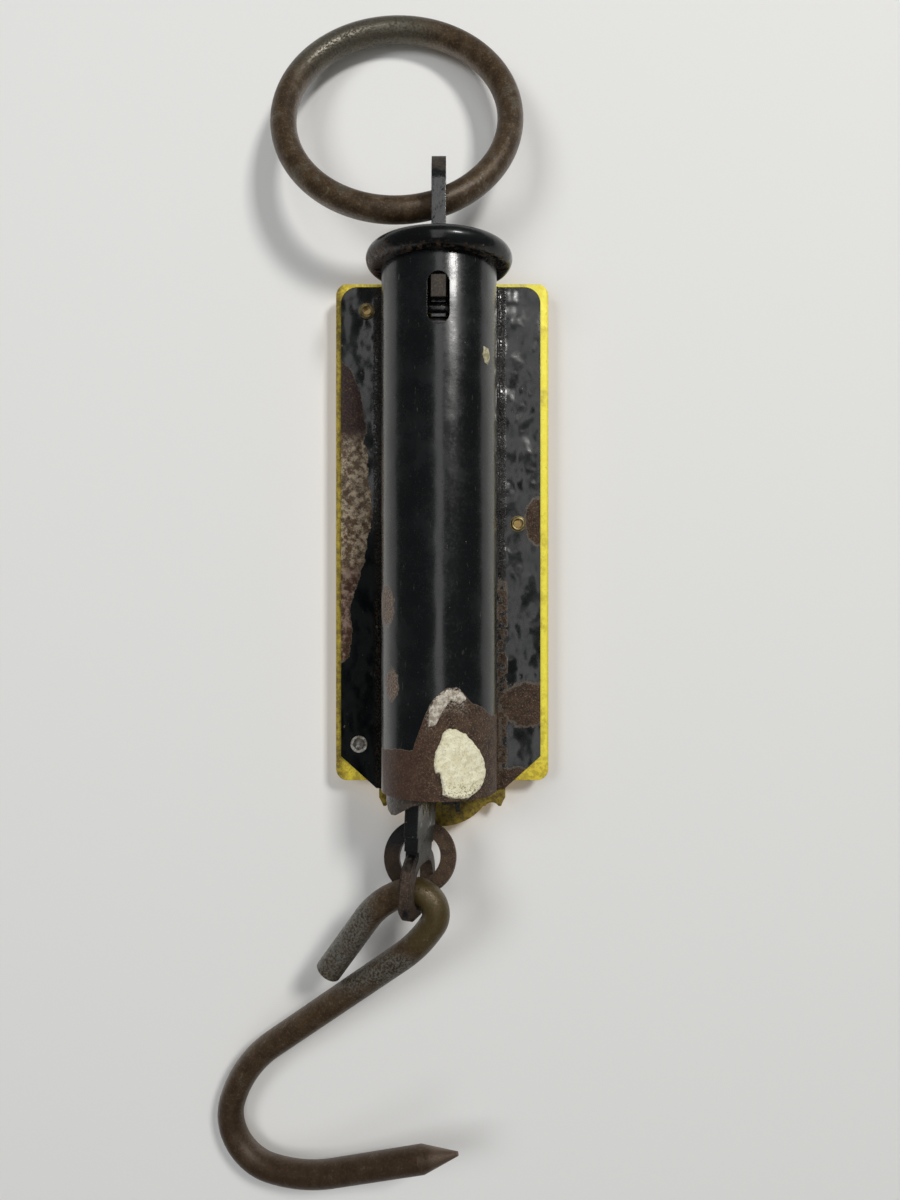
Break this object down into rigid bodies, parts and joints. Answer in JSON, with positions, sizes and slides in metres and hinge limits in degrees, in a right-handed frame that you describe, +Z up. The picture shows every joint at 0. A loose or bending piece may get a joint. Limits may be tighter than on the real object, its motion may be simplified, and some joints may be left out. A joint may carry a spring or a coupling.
{
  "type": "hanging spring scale",
  "caption": "Flat-faced hanging spring scale with a half-round tube, extension spring, sliding draw bar and pointer, suspension ring, flat link ring and S hook.",
  "frame": {"origin": "centre of the hanger's eye, on the axis of the tube, where the suspension ring carries the scale", "axes": "+Z up along the tube's axis, +Y out of the brass face, -Y out of the round back, +X to the right seen from the back"},
  "size_m": [0.0814, 0.0358, 0.2866],
  "materials": {
    "brass_face": "worn lacquered brass",
    "black_japan": "gloss black japan over steel, chipped to rust",
    "cap_black": "gloss black japan",
    "guide_steel": "worn black paint over brown steel",
    "hanger_iron": "black paint worn to brown at the head",
    "ring_steel": "brown patina with grey plating left",
    "spring_steel": "blackened spring steel",
    "bar_iron": "black paint over rust",
    "pointer_brass": "tarnished brass",
    "pin_steel": "dull steel",
    "eyelet_brass": "dull brass",
    "clinch_nickel": "dull nickel",
    "link_iron": "speckled rust",
    "hook_steel": "brown patina with grey-green plating left"
  },
  "bodies": {
    "casing": {"face_plate": "brass_face", "back_shell": "black_japan", "top_cap": "cap_black", "bottom_guide": "guide_steel", "hanger": "hanger_iron", "spring": "spring_steel", "face_eyelets": "eyelet_brass", "clinch_rivet": "clinch_nickel"},
    "ring": {"suspension_ring": "ring_steel"},
    "draw": {"draw_bar": "bar_iron", "pointer": "pointer_brass", "pointer_rivet": "pin_steel"},
    "link": {"link_ring": "link_iron"},
    "hook": {"load_hook": "hook_steel"}
  },
  "joints": [
    {"name": "ring_swing", "type": "hinge", "parent": "casing", "child": "ring", "pos_m": [0, 0, -0.00105], "axis": [1, 0, 0], "range_deg": [-92, 125]},
    {"name": "draw_slide", "type": "slide", "parent": "casing", "child": "draw", "axis": [0, 0, -1], "range_m": [0, 0.065], "stiffness_N_per_m": 3420, "deforming": ["spring"]},
    {"name": "link_swing", "type": "hinge", "parent": "draw", "child": "link", "pos_m": [-0.00388, 0.00411, -0.15857], "axis": [0.9848, -0.1736, 0], "range_deg": [-100, 3]},
    {"name": "hook_swing", "type": "hinge", "parent": "draw", "child": "hook", "pos_m": [-0.00496, -0.00187, -0.1576], "axis": [0.9636, -0.2672, 0], "range_deg": [-75, 5]}
  ]
}
